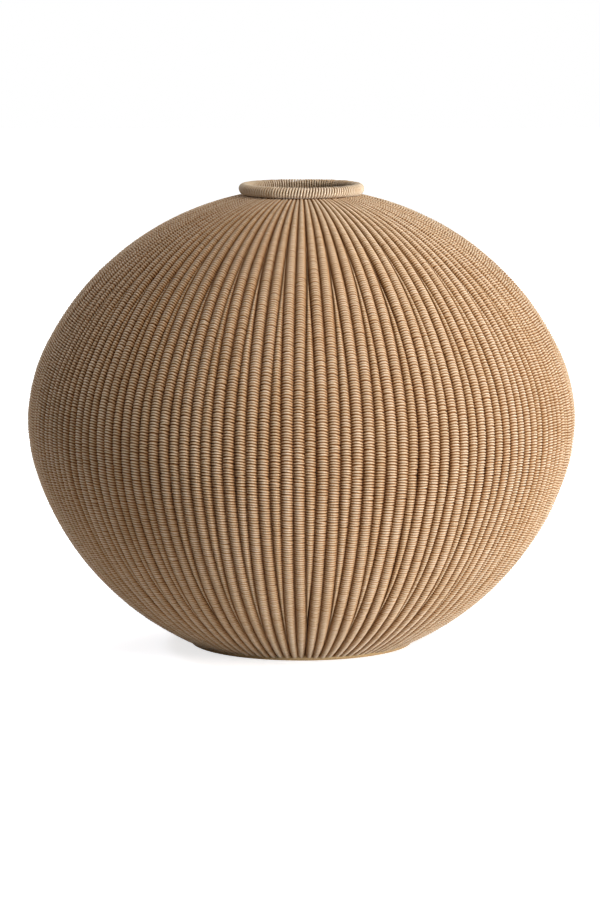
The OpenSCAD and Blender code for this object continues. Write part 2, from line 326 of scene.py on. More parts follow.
@dataclass(frozen=True)
class GrainFinish:
    """A natural or drawn material whose tone runs in streaks.

    It serves for sanded birch board, peeled cane, annealed wire and wool felt,
    which differ in colour, streak size and gloss.

    Attributes:
        name: Name of the material.
        light: Colour of the pale streaks.
        dark: Colour of the dark streaks.
        streak: Size of the streaks along each axis, in millimetres.
        roughness: Mean roughness of the surface.
        metallic: One for a metal, and zero for all else.
        relief: Height of the streaks, in millimetres.
        specular: Share of mirror-like reflection.
        gloss_range: Range of the roughness over the streaks.
        relief_strength: Strength with which the streaks catch the light.
    """

    name: str
    light: str
    dark: str
    streak: tuple[float, float, float]
    roughness: float
    metallic: float = 0.0
    relief: float = 0.05
    specular: float = 0.05
    gloss_range: float = 0.2
    relief_strength: float = 0.6

    def make(self) -> bpy.types.Material:
        """Builds the material.

        Returns:
            The material, patterned on object coordinates.
        """
        material, shader = fresh_material(self.name)
        tree = material.node_tree
        place = add_node(tree, "ShaderNodeTexCoord")
        scale = tuple(1.0 / (size * MM) for size in self.streak)
        fitted = add_node(
            tree,
            "ShaderNodeMapping",
            inputs={"Vector": place.outputs["Object"], "Scale": scale},
        )
        streaks = add_node(
            tree,
            "ShaderNodeTexNoise",
            inputs={"Vector": fitted.outputs[0], "Scale": 1.0, "Detail": 5.0},
        )
        colour = add_node(
            tree,
            "ShaderNodeValToRGB",
            inputs={"Fac": streaks.outputs["Fac"]},
            stops=[(0.3, self.dark), (0.7, self.light)],
        )
        smoothest = self.roughness - self.gloss_range / 2
        gloss = add_node(
            tree,
            "ShaderNodeMath",
            {"operation": "MULTIPLY_ADD", "use_clamp": True},
            {0: streaks.outputs["Fac"], 1: self.gloss_range, 2: smoothest},
        )
        bump = add_node(
            tree,
            "ShaderNodeBump",
            inputs={
                "Height": streaks.outputs["Fac"],
                "Strength": self.relief_strength,
                "Distance": self.relief * MM,
            },
        )
        tree.links.new(colour.outputs["Color"], shader.inputs["Base Color"])
        tree.links.new(gloss.outputs[0], shader.inputs["Roughness"])
        tree.links.new(bump.outputs[0], shader.inputs["Normal"])
        shader.inputs["Metallic"].default_value = self.metallic
        shader.inputs["Specular IOR Level"].default_value = self.specular
        return material


@dataclass(frozen=True)
class BodyOutline:
    """Upright outline of the body over the rib crests, in millimetres.

    A bowl arc, a belly arc and a shoulder arc follow each other, each tangent to
    the next, from the foot up to the neck. A run is a length along this outline,
    counted from the foot.

    Attributes:
        belly_radius: Largest radius of the body.
        belly_height: Height at which the body is widest.
        belly_arc: Radius of the belly arc.
        upper_turn: Angle that the belly arc goes on above the widest point.
        lower_turn: Angle that the belly arc goes on below it.
        neck_radius: Radius at which the ribs end at the neck.
        neck_height: Height at which they end there.
        foot_radius: Radius at which the ribs end at the foot.
        foot_height: Height at which they end there.
    """

    belly_radius: float = 200.0
    belly_height: float = 164.0
    belly_arc: float = 120.0
    upper_turn: float = math.radians(25.8)
    lower_turn: float = math.radians(17.4)
    neck_radius: float = 42.0
    neck_height: float = 328.8
    foot_radius: float = 82.0
    foot_height: float = 1.5

    def arcs(self) -> list[tuple[Array, float, float, float]]:
        """Lists the three arcs from the foot up.

        Returns:
            Centre, radius, and first and last angle of the normal, of each arc.
        """
        centre = np.array([self.belly_radius - self.belly_arc, self.belly_height])
        ends = (
            (-self.lower_turn, np.array([self.foot_radius, self.foot_height])),
            (self.upper_turn, np.array([self.neck_radius, self.neck_height])),
        )
        tangent = []
        for turn, point in ends:
            way = np.array([math.cos(turn), math.sin(turn)])
            away = point - centre
            along = float(away @ way)
            arc = (away @ away - 2 * self.belly_arc * along + self.belly_arc**2) / (
                2 * (self.belly_arc - along)
            )
            middle = centre + (self.belly_arc - arc) * way
            angle = math.atan2(point[1] - middle[1], point[0] - middle[0])
            tangent.append((middle, float(arc), angle))
        bowl, shoulder = tangent
        return [
            (bowl[0], bowl[1], bowl[2], -self.lower_turn),
            (centre, self.belly_arc, -self.lower_turn, self.upper_turn),
            (shoulder[0], shoulder[1], self.upper_turn, shoulder[2]),
        ]

    def length(self) -> float:
        """Gives the length of the outline from foot to neck."""
        return sum(arc * (last - first) for _, arc, first, last in self.arcs())

    def samples(self) -> Array:
        """Gives closely spaced runs from foot to neck."""
        return np.linspace(0.0, self.length(), SAMPLES)

    def at(self, run: Array, depth: Array | float = 0.0) -> tuple[Array, Array]:
        """Finds points at runs along the crests, sunk by a depth.

        Args:
            run: Runs of the points, which may go past both ends.
            depth: Distance inwards from the crests.

        Returns:
            Radius and height of each point.
        """
        run = np.asarray(run, float)
        radius = np.zeros_like(run)
        height = np.zeros_like(run)
        start = 0.0
        for number, (centre, arc, first, last) in enumerate(self.arcs()):
            here = run >= start if number else np.ones_like(run, bool)
            turned = first + (run - start) / arc
            reach = arc - depth
            radius = np.where(here, centre[0] + reach * np.cos(turned), radius)
            height = np.where(here, centre[1] + reach * np.sin(turned), height)
            start += arc * (last - first)
        return radius, height

    def run_at_height(self, height: float) -> float:
        """Gives the run at which the crests pass a height."""
        runs = self.samples()
        return float(np.interp(height, self.at(runs)[1], runs))

    def runs_at_radius(self, radius: float) -> tuple[float, float]:
        """Finds where the crests have a radius.

        Args:
            radius: Radius to find, less than that of the belly.

        Returns:
            Runs below and above the belly.
        """
        runs = self.samples()
        radii = self.at(runs)[0]
        widest = int(np.argmax(radii))
        low = float(np.interp(radius, radii[: widest + 1], runs[: widest + 1]))
        high = float(np.interp(-radius, -radii[widest:], runs[widest:]))
        return low, high


@dataclass(frozen=True)
class RibLayout:
    """Places and widths of the ribs around the body, in millimetres.

    A place is an azimuth and a side. The main ribs of a pair share their azimuth
    and have the sides one and minus one, and a filler rib has the side zero.

    Attributes:
        pair_count: Pairs of main ribs, with a filler rib after each pair.
        full_half: Half the width of a rib that isn't squeezed.
        squeeze: Power that sets how suddenly a rib is squeezed.
    """

    pair_count: int = 51
    full_half: float = 4.1
    squeeze: float = 8.0

    @property
    def pair_angle(self) -> float:
        """Angle that one pair of main ribs and one filler rib take."""
        return 2 * math.pi / self.pair_count

    def main_half(self, radius: Array) -> Array:
        """Gives half the width of a main rib, squeezed where the body is slim."""
        room = radius * math.tan(self.pair_angle / 4)
        return room / (1 + (room / self.full_half) ** self.squeeze) ** (1 / self.squeeze)

    def filler_half(self, radius: Array) -> Array:
        """Gives half the width that is left for a filler rib."""
        return radius * math.tan(self.pair_angle / 2) - 2 * self.main_half(radius)

    def main_places(self) -> list[Place]:
        """Lists the places of the main ribs."""
        ribs = range(2 * self.pair_count)
        return [((rib // 2) * self.pair_angle, -1 if rib % 2 else 1) for rib in ribs]

    def filler_places(self) -> list[Place]:
        """Lists the places of the filler ribs, each between two pairs."""
        return [((rib + 0.5) * self.pair_angle, 0) for rib in range(self.pair_count)]


def template(name: str, segments: int, rings: int) -> Piece:
    """Adds a closed round form with many rings, to be drawn out into a rib or wire.

    Args:
        name: Name of the object.
        segments: Corners around each ring.
        rings: Steps from one end to the other.

    Returns:
        The new object, shaded smooth.
    """
    bpy.ops.object.select_all(action="DESELECT")
    bpy.ops.mesh.primitive_uv_sphere_add(segments=segments, ring_count=rings, radius=1.0)
    form = bpy.context.object
    form.name = name
    bpy.ops.object.shade_smooth()
    return form


def corners(form: Piece) -> Array:
    """Reads the corner points of a form's mesh.

    Args:
        form: Object to read.

    Returns:
        One row for each point.
    """
    points = np.zeros(len(form.data.vertices) * 3)
    form.data.vertices.foreach_get("co", points)
    return points.reshape(-1, 3)


def spots(form: Piece, rings: int) -> tuple[Array, Array]:
    """Finds where the corner points of a template lie on it.

    Args:
        form: Template, or a copy of it.
        rings: Steps from one end of it to the other.

    Returns:
        Step along the form and angle around it, for each point.
    """
    base = corners(form)
    rise = np.arctan2(base[:, 2], np.hypot(base[:, 0], base[:, 1]))
    level = np.rint((rise / math.pi + 0.5) * rings).astype(int)
    return level, np.arctan2(base[:, 1], base[:, 0])


def from_plane(reach: Array, aside: Array, height: Array, azimuth: float) -> Array:
    """Places points that are given beside an upright plane through the axis.

    Args:
        reach: Distances from the axis along the plane, in millimetres.
        aside: Distances from the plane.
        height: Heights.
        azimuth: Azimuth of the plane.

    Returns:
        Points of the scene, in metres.
    """
    x = reach * math.cos(azimuth) - aside * math.sin(azimuth)
    y = reach * math.sin(azimuth) + aside * math.cos(azimuth)
    return np.stack([x, y, height], axis=1) * MM


def from_axis(radius: Array | float, azimuth: Array, height: Array) -> Array:
    """Gives points by their radius, azimuth and height."""
    return np.stack([radius * np.cos(azimuth), radius * np.sin(azimuth), height], axis=1)


def set_corners(form: Piece, points: Array, marks: dict[Mark, Array]) -> None:
    """Moves the corner points of a form and writes its marks.

    Args:
        form: Object to shape.
        points: New points in metres.
        marks: Values of each attribute for every point.
    """
    mesh = form.data
    mesh.vertices.foreach_set("co", points.astype(np.float32).ravel())
    for mark, values in marks.items():
        flat = values.ndim == 1
        kind = "FLOAT" if flat else "FLOAT_VECTOR"
        attribute = mesh.attributes.new(mark.value, kind, "POINT")
        attribute.data.foreach_set(
            "value" if flat else "vector", values.astype(np.float32).ravel()
        )
    mesh.update()


def close_up(piece: Piece) -> None:
    """Merges the seams of a rolled-up piece and turns its faces outwards.

    Args:
        piece: The active object.
    """
    bpy.ops.object.mode_set(mode="EDIT")
    bpy.ops.mesh.select_all(action="SELECT")
    bpy.ops.mesh.remove_doubles(threshold=MERGE_DISTANCE)
    bpy.ops.mesh.normals_make_consistent(inside=False)
    bpy.ops.object.mode_set(mode="OBJECT")
    LOG.info("%s: closed", piece.name)


def joined(forms: list[Piece], name: str) -> Piece:
    """Joins forms into one piece.

    Args:
        forms: Objects to join.
        name: Name of the piece and its mesh.

    Returns:
        The joined object.
    """
    bpy.ops.object.select_all(action="DESELECT")
    for form in forms:
        form.select_set(True)
    bpy.context.view_layer.objects.active = forms[0]
    bpy.ops.object.join()
    piece = bpy.context.object
    piece.name = piece.data.name = name
    return piece


def gathered(
    blank: Piece,
    name: str,
    sets: int,
    places: list[Place],
    shape: Callable[[Piece, float, int], None],
) -> list[Piece]:
    """Copies a template to many places and gathers the copies in sets.

    Args:
        blank: Template, which is taken away at the end.
        name: Name of the pieces, before their number.
        sets: Number of pieces that the places are dealt out to in turn.
        places: Azimuth and side of each copy.
        shape: Draws one copy out at its azimuth and side.

    Returns:
        One piece for each set.
    """
    pieces = []
    for number in range(sets):
        forms = []
        for azimuth, side in places[number::sets]:
            form = blank.copy()
            form.data = blank.data.copy()
            bpy.context.scene.collection.objects.link(form)
            shape(form, azimuth, side)
            forms.append(form)
        pieces.append(joined(forms, f"{name}_{number + 1:02d}"))
    bpy.data.objects.remove(blank)
    return pieces


def dress(piece: Piece, material: bpy.types.Material) -> None:
    """Gives a piece one material in place of any that it has."""
    piece.data.materials.clear()
    piece.data.materials.append(material)


def install(piece: Piece, nodes: list[str]) -> None:
    """Ties a finished piece to the frame and reports it.

    Args:
        piece: Finished piece.
        nodes: CAD nodes that the piece stands for.
    """
    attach(piece, ROOT)
    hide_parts(*nodes)
    LOG.info("%s: %d faces, for %s", piece.name, len(piece.data.polygons), ", ".join(nodes))


@dataclass(frozen=True)
class RibChance:
    """What chance gives one rib.

    Attributes:
        jitter: Thickening of each wrap.
        shift: Shift of each wrap along the rib.
        tilt: Slope of each wrap across the rib.
        tone: Tone of each wrap.
        sway: Bend to the side at each ring.
        swell: Rise of the crest at each ring.
        drift: Slow shift of the rows at each ring.
    """

    jitter: Array
    shift: Array
    tilt: Array
    tone: Array
    sway: Array
    swell: Array
    drift: Array


@dataclass
class RibWhipping:
    """Ribs of paper twine, whipped in rows that drift a little from rib to rib.

    Sizes are in millimetres. A ring is one loop of corner points around a rib, and
    several rings make up a wrap of twine and the groove below it.

    Attributes:
        outline: Outline of the body.
        layout: Places and widths of the ribs.
        main_sets: Pieces that the main ribs are gathered in.
        filler_sets: Pieces that the filler ribs are gathered in.
        pitch: Distance from one row of twine to the next.
        depth: Depth of a rib from its crest to its back.
        front: Depth of the round front, as a share of a full half width.
        front_slim: Most of a slim rib's own half width that the front takes.
        across: Places of a ring's corners across the rib, as shares of its half
            width. Those past one reach behind the next rib, so no gap shows.
        fall: Depths of these corners, as shares of the front. One is the back.
        rise: Heights of a wrap's rings out of the groove, as shares of its depth.
        groove: Depth of the groove between two wraps.
        groove_slim: Power by which grooves grow shallower on slim ribs.
        groove_flank: Share by which grooves grow shallower down the flanks.
        waist: Share of a groove's depth by which the rib narrows in it.
        least_waist: Least share of its width that a rib keeps in a groove.
        arch: Drop of the ends of a wrap below its middle.
        tilt: Mean and scatter of the slope of a wrap across the rib.
        drift: Scatter of the slow shift of the rows.
        drift_reach: Length over which this shift changes.
        sway: Scatter of the slow bends and swellings of a rib.
        sway_reach: Length over which the bends change.
        swell_reach: Length over which the swellings change.
        row_jitter: Scatter of the shift of single wraps.
        wrap_jitter: Scatter of the thickness of single wraps.
        rib_tone: Scatter of tone from rib to rib.
        wrap_tone: Scatter of tone from wrap to wrap.
        seam_height: Height at which the upper and lower whipping meet.
        seam_reach: Length over which a rib comes back in line beyond the seam.
        seam_kink: Scatter of the bend that both lengths of a rib have at the seam.
        seam_step: Scatter of the step from one length to the other.
        seam_dip: Depth of the dent at the seam.
        seam_width: Half the length of this dent.
        tip_radius: Radius of the body where filler ribs start and end.
        tip_jitter: Scatter of how late filler ribs gain their width.
        tip_reach: Half width over which this wears off.
        tip_half: Least half width of a filler rib.
        tip_sink: Depth of the tips of filler ribs below the other crests.
        crown_slim: Power by which the painted groove shade grows paler on slim ribs.
        crown_flank: Share by which the crown mark falls down the flanks, which paints shade
            into the valleys between ribs.
        unrolled: Length of twine for each millimetre across a rib.
        lay_turn: Shift of the twine's pattern for each radian around the body.
        lay_side: Shift of the pattern from side to side of a pair.
        draw: Source of chance.
        seam_run: Run at which the crests pass the seam.
        rows: Runs of the grooves between wraps, which all ribs share.
    """

    outline: BodyOutline
    layout: RibLayout
    main_sets: int = 17
    filler_sets: int = 3
    pitch: float = 2.0
    depth: float = 7.2
    front: float = 0.74
    front_slim: float = 0.9
    across: tuple[float, ...] = (0.26, 0.67, 1.1, 0.0, -1.1, -0.67, -0.26)
    fall: tuple[float, ...] = (0.04, 0.32, 0.94, 1.0, 0.94, 0.32, 0.04)
    rise: tuple[float, ...] = (0.0, 0.79, 1.0, 0.79)
    groove: float = 1.8
    groove_slim: float = 0.25
    groove_flank: float = 0.6
    waist: float = 0.6
    least_waist: float = 0.3
    arch: float = 0.8
    tilt: tuple[float, float] = (-0.06, 0.04)
    drift: float = 0.55
    drift_reach: float = 60.0
    sway: float = 0.12
    sway_reach: float = 70.0
    swell_reach: float = 45.0
    row_jitter: float = 0.11
    wrap_jitter: float = 0.05
    rib_tone: float = 0.03
    wrap_tone: float = 0.05
    seam_height: float = 150.0
    seam_reach: float = 13.0
    seam_kink: float = 0.28
    seam_step: float = 0.1
    seam_dip: float = 0.35
    seam_width: float = 1.6
    tip_radius: float = 112.0
    tip_jitter: float = 1.0
    tip_reach: float = 1.4
    tip_half: float = 0.12
    tip_sink: float = 2.2
    crown_slim: float = 0.2
    crown_flank: float = 0.6
    unrolled: float = 1.3
    lay_turn: float = 37.0
    lay_side: float = 11.0
    draw: np.random.Generator = field(default_factory=lambda: np.random.default_rng(SEED))
    seam_run: float = field(init=False)
    rows: Array = field(init=False)

    def __post_init__(self) -> None:
        """Finds the seam and lays out the rows that all ribs share."""
        self.seam_run = self.outline.run_at_height(self.seam_height)
        count = round(self.outline.length() / self.pitch)
        self.rows = np.linspace(0.0, self.outline.length(), count + 1)

    def ends(self, kind: RibKind) -> tuple[float, float]:
        """Finds where the ribs of a kind start and end.

        Args:
            kind: Kind of rib.

        Returns:
            Runs of the lower and the upper end.
        """
        if kind is RibKind.MAIN:
            return 0.0, self.outline.length()
        return self.outline.runs_at_radius(self.tip_radius)

    def rings(self, first: float, last: float) -> tuple[Array, Array, Array]:
        """Spreads rings of corner points over the rows between two runs.

        Args:
            first: Run at the lower end.
            last: Run at the upper end.

        Returns:
            Run, row number and rise out of the groove of each ring.
        """
        near = 0.5 * self.pitch
        inside = self.rows[(self.rows > first - near) & (self.rows < last - near)]
        number = np.searchsorted(self.rows, inside)
        steps = len(self.rise)
        gap = self.pitch / steps
        run = (inside[:, None] + gap * np.arange(steps)).ravel()
        wrap = np.repeat(number, steps)
        rise = np.tile(np.array(self.rise), len(inside))
        rise[0] = self.rise[1]
        run = np.clip(np.append(run, last), first, last)
        return run, np.append(wrap, wrap[-1]), np.append(rise, self.rise[1])

    def smooth_noise(self, run: Array, reach: float) -> Array:
        """Draws a slow random sway along a rib.

        Args:
            run: Runs to give values for.
            reach: Distance between two random values.

        Returns:
            Values around zero that change smoothly.
        """
        knots = np.arange(-reach, self.outline.length() + 2 * reach, reach)
        values = self.draw.normal(0.0, 1.0, len(knots))
        place = (run - knots[0]) / reach
        low = np.floor(place).astype(int)
        part = place - low
        ease = part * part * (3 - 2 * part)
        return values[low] * (1 - ease) + values[low + 1] * ease

    def chance(self, run: Array) -> RibChance:
        """Draws the unevenness of one rib.

        Args:
            run: Runs of the rib's rings.

        Returns:
            What chance gives this rib.
        """
        wraps = len(self.rows) + 1
        jitter = self.draw.normal(0.0, self.wrap_jitter, wraps)
        shift = self.draw.normal(0.0, self.row_jitter, wraps)
        tilt = self.draw.normal(*self.tilt, wraps)
        tone = MIDDLE_TONE + self.draw.normal(0.0, self.wrap_tone, wraps)
        tone += self.draw.normal(0.0, self.rib_tone)
        sway = self.sway * self.smooth_noise(run, self.sway_reach)
        swell = self.sway * self.smooth_noise(run, self.swell_reach)
        drift = self.drift * self.smooth_noise(run, self.drift_reach)
        kink = self.draw.normal(0.0, self.seam_kink)
        step = self.draw.normal(0.0, self.seam_step)
        from_seam = run - self.seam_run
        fade = np.exp(-np.abs(from_seam) / self.seam_reach)
        sway = sway + (kink + np.sign(from_seam) * step) * fade
        swell = swell - self.seam_dip * np.exp(-((from_seam / self.seam_width) ** 2))
        return RibChance(jitter, shift, tilt, tone, sway, swell, drift)

    def filler_width(self, radius: Array) -> Array:
        """Draws out how one filler rib gains its width.

        Args:
            radius: Radius of the body at each ring.

        Returns:
            Half the width of the rib at each ring.
        """
        late = abs(self.draw.normal(0.0, self.tip_jitter))
        half = self.layout.filler_half(radius)
        lost = late * np.exp(-np.maximum(half, 0.0) / self.tip_reach)
        return np.maximum(half - lost, self.tip_half)

    def shape(self, form: Piece, azimuth: float, side: int) -> None:
        """Draws a closed form out into one whipped rib.

        Args:
            form: Copy of the template for this kind of rib.
            azimuth: Angle of the pair, or of the filler rib, around the axis.
            side: One or minus one for a main rib of a pair, zero for a filler rib.
        """
        first, last = self.ends(RibKind.MAIN if side else RibKind.FILLER)
        run, wrap, rise = self.rings(first, last)
        steps = len(run) + 1
        level, angle = spots(form, steps)
        sides = len(self.across)
        corner = np.rint(angle / (2 * math.pi) * sides).astype(int) % sides
        ring = np.clip(level - 1, 0, len(run) - 1)
        pole = (level == 0) | (level == steps)

        # Width and front of the rib, and depth of its grooves, at each ring
        luck = self.chance(run)
        full_half = self.layout.full_half
        swell = luck.swell
        radius = self.outline.at(run)[0] - self.depth / 2
        if side:
            half = self.layout.main_half(radius)
        else:
            half = self.filler_width(radius)
            swell = swell - self.tip_sink * (1 - half / full_half) ** 2
        cap = np.minimum(full_half * self.front, self.front_slim * half)
        slim = np.minimum(half / full_half, 1.0)
        cut = self.groove * slim**self.groove_slim * (1 - rise) - slim * luck.jitter[wrap]
        wide = np.maximum(half - self.waist * cut, self.least_waist * half)
        centre = (abs(side) * half + luck.sway) * (side or 1)

        # Place of each corner across, into and along the rib
        part = np.array(self.across)[corner]
        fall = np.array(self.fall)[corner]
        lateral = np.where(np.abs(part) > 1.0, half[ring], wide[ring]) * part
        sunk = fall * cap[ring] + (1 - self.groove_flank * fall) * cut[ring]
        sunk = np.where(fall < 1.0, sunk, self.depth) - swell[ring]
        along = run[ring] + (luck.shift[wrap] + luck.drift)[ring]
        along = along + luck.tilt[wrap[ring]] * lateral
        along = np.clip(along - self.arch * slim[ring] * part**2, first, last)

        # The poles close the ends
        lateral = np.where(pole, 0.0, lateral)
        sunk = np.where(pole, cap[ring], sunk)
        along = np.where(level == 0, first, np.where(level == steps, last, along))

        reach, height = self.outline.at(along, sunk)
        points = from_plane(reach, centre[ring] + lateral, height, azimuth)
        unrolled = self.unrolled * part * full_half + self.lay_turn * azimuth
        lay = np.stack([unrolled, along, np.full_like(along, self.lay_side * side)], axis=1)
        # The crown mark sets the painted shade, darkest in the grooves and falling down the
        # flanks into the valleys between ribs
        crown = 1 - slim[ring] ** self.crown_slim * (1 - rise[ring])
        marks = {
            Mark.LAY: lay,
            Mark.TONE: luck.tone[wrap[ring]],
            Mark.CROWN: crown * (1 - self.crown_flank * fall),
        }
        set_corners(form, points, marks)

    def build(self, kind: RibKind, finish: bpy.types.Material) -> list[Piece]:
        """Builds the ribs of one kind, gathered in the sets of the CAD nodes.

        Args:
            kind: Kind of rib.
            finish: Twine material.

        Returns:
            One piece for each set.
        """
        if kind is RibKind.MAIN:
            sets, places = self.main_sets, self.layout.main_places()
        else:
            sets, places = self.filler_sets, self.layout.filler_places()
        run, _, _ = self.rings(*self.ends(kind))
        blank = template("rib_template", len(self.across), len(run) + 1)
        pieces = gathered(blank, kind.value, sets, places, self.shape)
        for piece in pieces:
            dress(piece, finish)
            install(piece, [f"lower_{piece.name}", f"upper_{piece.name}"])
        return pieces


@dataclass
class RimWinding:
    """One unbroken twine wound around the rod of the mouth ring.

    Sizes are in millimetres.

    Attributes:
        ring_radius: Radius of the rod's ring.
        height: Height of the ring's middle.
        curl: Radius of the turns, at the middle of the twine.
        twine: Radius of the twine.
        slim: Width of the twine against its height where it lies free.
        spread: The same below the rod, where it is pressed flat and closes the ring.
        top_press: Share of this press that the twine has on top of the rod.
        turns: Turns around the whole ring.
        lean: Extra lean of the turns on the outside of the ring.
        sag: Depth by which the lower side of the turns settles on the neck.
        loose: Scatter of the radius of the turns.
        tone: Scatter of tone from turn to turn.
        crown: Crown mark at the side of the twine, and its gain on the outside, which paint
            shade on the sides and the inner face of each turn.
        steps: Rings of corner points in each turn.
        sides: Corners around the twine.
        draw: Source of chance.
    """

    ring_radius: float = 41.8
    height: float = 333.0
    curl: float = 2.85
    twine: float = 1.02
    slim: float = 0.8
    spread: float = 1.14
    top_press: float = 0.35
    turns: int = 132
    lean: float = 0.009
    sag: float = 0.5
    loose: float = 0.08
    tone: float = 0.05
    crown: tuple[float, float] = (0.3, 0.8)
    steps: int = 18
    sides: int = 7
    draw: np.random.Generator = field(
        default_factory=lambda: np.random.default_rng(SEED + 1)
    )

    def path(self, wind: Array, jitter: Array) -> Array:
        """Gives the middle of the twine along its way round.

        Args:
            wind: Angle that the twine has wound around the rod.
            jitter: Widening of the curl at each point.

        Returns:
            Points in millimetres.
        """
        azimuth = wind / self.turns + self.lean * np.sin(wind)
        curl = self.curl + jitter
        reach = self.ring_radius + curl * np.cos(wind)
        rise = curl * np.sin(wind) + self.sag * np.minimum(np.sin(wind), 0.0)
        return from_axis(reach, azimuth, self.height + rise)

    def directions(self, middle: Array) -> tuple[Array, Array]:
        """Finds the directions square to the twine.

        Args:
            middle: Points along the middle of the twine.

        Returns:
            Directions away from the rod and to the side, at each point.
        """
        way = np.roll(middle, -1, axis=0) - np.roll(middle, 1, axis=0)
        way /= np.linalg.norm(way, axis=1)[:, None]
        azimuth = np.arctan2(middle[:, 1], middle[:, 0])
        rod = from_axis(self.ring_radius, azimuth, np.full(len(middle), self.height))
        out = middle - rod
        out -= (out * way).sum(axis=1)[:, None] * way
        out /= np.linalg.norm(out, axis=1)[:, None]
        return out, np.cross(way, out)

    def build(self, finish: bpy.types.Material) -> Piece:
        """Builds the winding from a long strip that is rolled up and wound round.

        Args:
            finish: Twine material.

        Returns:
            The finished piece.
        """
        # A plain strip from minus one to one, whose corners then take their places
        count = self.turns * self.steps
        bpy.ops.object.select_all(action="DESELECT")
        bpy.ops.mesh.primitive_grid_add(
            x_subdivisions=count, y_subdivisions=self.sides, size=2.0
        )
        piece = bpy.context.object
        piece.name = piece.data.name = "rim_winding"
        bpy.ops.object.shade_smooth()
        base = corners(piece)
        major = np.rint((base[:, 0] + 1.0) / 2.0 * count).astype(int) % count
        minor = np.rint((base[:, 1] + 1.0) / 2.0 * self.sides) % self.sides
        minor = minor * (2 * math.pi / self.sides)

        loose = self.draw.normal(0.0, self.loose, self.turns)
        tone = MIDDLE_TONE + self.draw.normal(0.0, self.tone, self.turns)
        step = np.arange(count)
        half_way = (np.arange(self.turns) + 0.5) * self.steps
        jitter = np.interp(step, half_way, loose, period=count)
        wind = 2 * math.pi * self.turns * (step / count)
        middle = self.path(wind, jitter)
        out, side = self.directions(middle)

        # The turns crowd on the inside of the ring and spread below the rod
        crowd = np.hypot(middle[:, 0], middle[:, 1]) / (self.ring_radius + self.curl)
        tall = np.sin(wind)
        press = np.sqrt(np.maximum(-tall, 0.0)) + self.top_press * np.maximum(tall, 0.0)
        width = (self.slim + (self.spread - self.slim) * press) * crowd
        offset = np.cos(minor)[:, None] * out[major]
        offset = offset + (np.sin(minor) * width[major])[:, None] * side[major]
        points = (middle[major] + self.twine * offset) * MM

        gaps = np.linalg.norm(np.diff(middle, axis=0), axis=1)
        length = np.concatenate([[0.0], np.cumsum(gaps)])
        # The crown mark paints shade on the sides and the inner face of each turn
        marks = {
            Mark.LAY: np.stack([length[major], self.twine * minor, 0.0 * minor], axis=1),
            Mark.TONE: tone[major // self.steps],
            Mark.CROWN: np.clip(self.crown[0] + self.crown[1] * np.cos(minor), 0.0, 1.0),
        }
        set_corners(piece, points, marks)
        close_up(piece)
        dress(piece, finish)
        install(piece, ["rim_binding"])
        return piece


